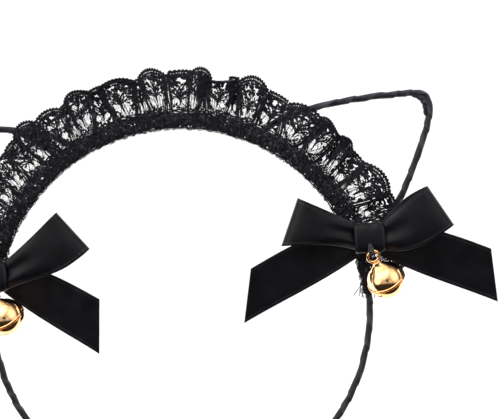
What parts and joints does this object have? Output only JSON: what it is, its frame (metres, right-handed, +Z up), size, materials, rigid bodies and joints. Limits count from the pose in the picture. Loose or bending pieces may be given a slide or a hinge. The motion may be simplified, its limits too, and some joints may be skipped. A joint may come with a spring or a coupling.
{
  "type": "animal ears headband",
  "caption": "Wire headband with lace ruffle, ribbon-bound wire cat ears, satin bows and hanging jingle bells, worn over the crown of the head.",
  "frame": {"origin": "on the head side of the crown of the hoop, midway between the ears, where the headband rests on the head", "axes": "+Z up out of the crown, -Y the side that faces forward with the bows and bells, +X to the right when looking at that side"},
  "size_m": [0.2125, 0.0252, 0.1481],
  "materials": {
    "steel_wire": "drawn wire",
    "black_satin": "satin ribbon, soft sheen",
    "black_lace": "openwork lace",
    "black_thread": "matt thread",
    "black_rubber": "matt",
    "gold_plate": "polished gold plate"
  },
  "bodies": {
    "band": {"hoop_wire": "steel_wire", "hoop_wrap": "black_satin", "tip_cap_left": "black_rubber", "tip_cap_right": "black_rubber", "lace_heading": "black_lace", "lace_ruffle": "black_lace", "gathering_thread": "black_thread", "ear_left_inner_lashing": "black_satin", "ear_left_outer_lashing": "black_satin", "bow_left_strap": "black_satin", "bow_left_pad": "black_satin", "bow_left_knot": "black_satin", "bow_left_loop_a": "black_satin", "bow_left_loop_b": "black_satin", "bow_left_tail_a": "black_satin", "bow_left_tail_b": "black_satin", "ear_right_inner_lashing": "black_satin", "ear_right_outer_lashing": "black_satin", "bow_right_strap": "black_satin", "bow_right_pad": "black_satin", "bow_right_knot": "black_satin", "bow_right_loop_a": "black_satin", "bow_right_loop_b": "black_satin", "bow_right_tail_a": "black_satin", "bow_right_tail_b": "black_satin"},
    "ear_left": {"ear_left_wire": "steel_wire", "ear_left_wrap": "black_satin"},
    "hanger_left": {"bell_left_hanger": "black_thread"},
    "bell_left": {"bell_left_ring": "gold_plate", "bell_left_upper_shell": "gold_plate", "bell_left_lower_shell": "gold_plate"},
    "pellet_left": {"bell_left_pellet": "steel_wire"},
    "ear_right": {"ear_right_wire": "steel_wire", "ear_right_wrap": "black_satin"},
    "hanger_right": {"bell_right_hanger": "black_thread"},
    "bell_right": {"bell_right_ring": "gold_plate", "bell_right_upper_shell": "gold_plate", "bell_right_lower_shell": "gold_plate"},
    "pellet_right": {"bell_right_pellet": "steel_wire"}
  },
  "joints": [
    {"name": "ear_left_tilt", "type": "hinge", "parent": "band", "child": "ear_left", "pos_m": [-0.02456, 0.0031, -0.00266], "axis": [-0.6157, 0, -0.788], "range_deg": [0, 30]},
    {"name": "ear_right_tilt", "type": "hinge", "parent": "band", "child": "ear_right", "pos_m": [0.02456, 0.0031, -0.00266], "axis": [-0.6157, 0, 0.788], "range_deg": [0, 30]},
    {"name": "bell_left_sway", "type": "hinge", "parent": "band", "child": "hanger_left", "pos_m": [-0.06451, -0.0164, -0.04993], "axis": [0, 1, 0], "range_deg": [0, 50]},
    {"name": "bell_left_nod", "type": "hinge", "parent": "hanger_left", "child": "bell_left", "pos_m": [-0.06451, -0.0186, -0.05083], "axis": [-0.9205, 0, -0.3907], "range_deg": [0, 75]},
    {"name": "bell_left_rattle", "type": "slide", "parent": "bell_left", "child": "pellet_left", "axis": [-0.345, -0.4695, 0.8128], "range_m": [0, 0.008]},
    {"name": "bell_right_sway", "type": "hinge", "parent": "band", "child": "hanger_right", "pos_m": [0.06726, -0.0164, -0.0467], "axis": [0, 1, 0], "range_deg": [0, 60]},
    {"name": "bell_right_nod", "type": "hinge", "parent": "hanger_right", "child": "bell_right", "pos_m": [0.06726, -0.0186, -0.0486], "axis": [-0.8988, 0, -0.4384], "range_deg": [0, 75]},
    {"name": "bell_right_rattle", "type": "slide", "parent": "bell_right", "child": "pellet_right", "axis": [-0.3871, -0.4695, 0.7936], "range_m": [0, 0.008]}
  ]
}
